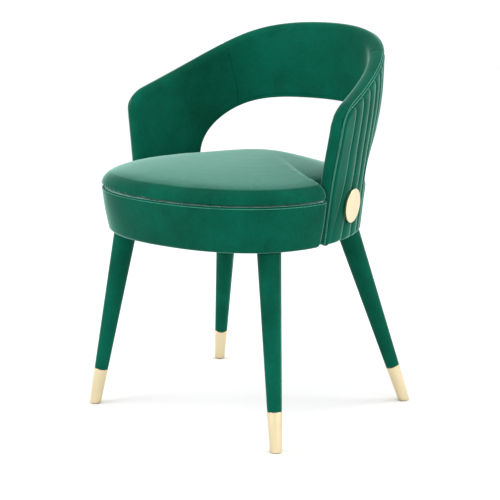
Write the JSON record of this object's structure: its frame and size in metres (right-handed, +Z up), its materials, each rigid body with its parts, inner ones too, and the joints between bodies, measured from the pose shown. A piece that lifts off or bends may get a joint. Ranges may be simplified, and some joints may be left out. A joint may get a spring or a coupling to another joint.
{
  "type": "dining chair",
  "caption": "Velvet barrel-back dining chair with sloping arms, open back, channelled outer shell, brass side medallions and splayed velvet legs with brass ferrules.",
  "frame": {"origin": "on the floor, under the middle of the bounding box", "axes": "+Z up; the chair faces -Y; +X is to the right for someone looking at its front; X = 0 is its plane of symmetry"},
  "size_m": [0.5658, 0.5521, 0.786],
  "materials": {
    "green_velvet": "emerald velvet with a soft pale sheen, topstitched",
    "polished_brass": "polished, pale gold",
    "birch_plywood": "sanded birch, unfinished inside the upholstery",
    "zinc_steel": "zinc plated",
    "black_nylon": "moulded black nylon",
    "seat_foam": "pale cut polyurethane foam",
    "black_undercloth": "black non-woven cloth"
  },
  "bodies": {
    "root": {"seat_cushion": "green_velvet", "seat_band": "green_velvet", "edge_roll": "green_velvet", "edge_welt": "green_velvet", "opening_lining": "green_velvet", "inner_back_pad": "green_velvet", "outer_back_panel": "green_velvet", "outer_lower_panel": "green_velvet", "inner_arm_pad_left": "green_velvet", "outer_side_panel_left": "green_velvet", "outer_channel_panel_left": "green_velvet", "inner_arm_pad_right": "green_velvet", "outer_side_panel_right": "green_velvet", "outer_channel_panel_right": "green_velvet", "leg_sleeve_front_left": "green_velvet", "leg_sleeve_front_right": "green_velvet", "leg_sleeve_back_left": "green_velvet", "leg_sleeve_back_right": "green_velvet", "medallion_left": "polished_brass", "medallion_right": "polished_brass", "ferrule_front_left": "polished_brass", "ferrule_front_right": "polished_brass", "ferrule_back_left": "polished_brass", "ferrule_back_right": "polished_brass", "front_rail": "birch_plywood", "back_rail": "birch_plywood", "seat_deck": "birch_plywood", "frame_top_rail": "birch_plywood", "frame_lower_rail": "birch_plywood", "side_rail_left": "birch_plywood", "frame_arm_left": "birch_plywood", "side_rail_right": "birch_plywood", "frame_arm_right": "birch_plywood", "leg_core_front_left": "birch_plywood", "leg_block_front_left": "birch_plywood", "leg_core_front_right": "birch_plywood", "leg_block_front_right": "birch_plywood", "leg_core_back_left": "birch_plywood", "leg_block_back_left": "birch_plywood", "leg_core_back_right": "birch_plywood", "leg_block_back_right": "birch_plywood", "shell_bolt_left": "zinc_steel", "shell_bolt_right": "zinc_steel", "leg_bolt_front_left": "zinc_steel", "leg_washer_front_left": "zinc_steel", "leg_bolt_front_right": "zinc_steel", "leg_washer_front_right": "zinc_steel", "leg_bolt_back_left": "zinc_steel", "leg_washer_back_left": "zinc_steel", "leg_bolt_back_right": "zinc_steel", "leg_washer_back_right": "zinc_steel", "glide_front_left": "black_nylon", "glide_front_right": "black_nylon", "glide_back_left": "black_nylon", "glide_back_right": "black_nylon", "seat_base_foam": "seat_foam", "undercloth": "black_undercloth"}
  },
  "joints": []
}
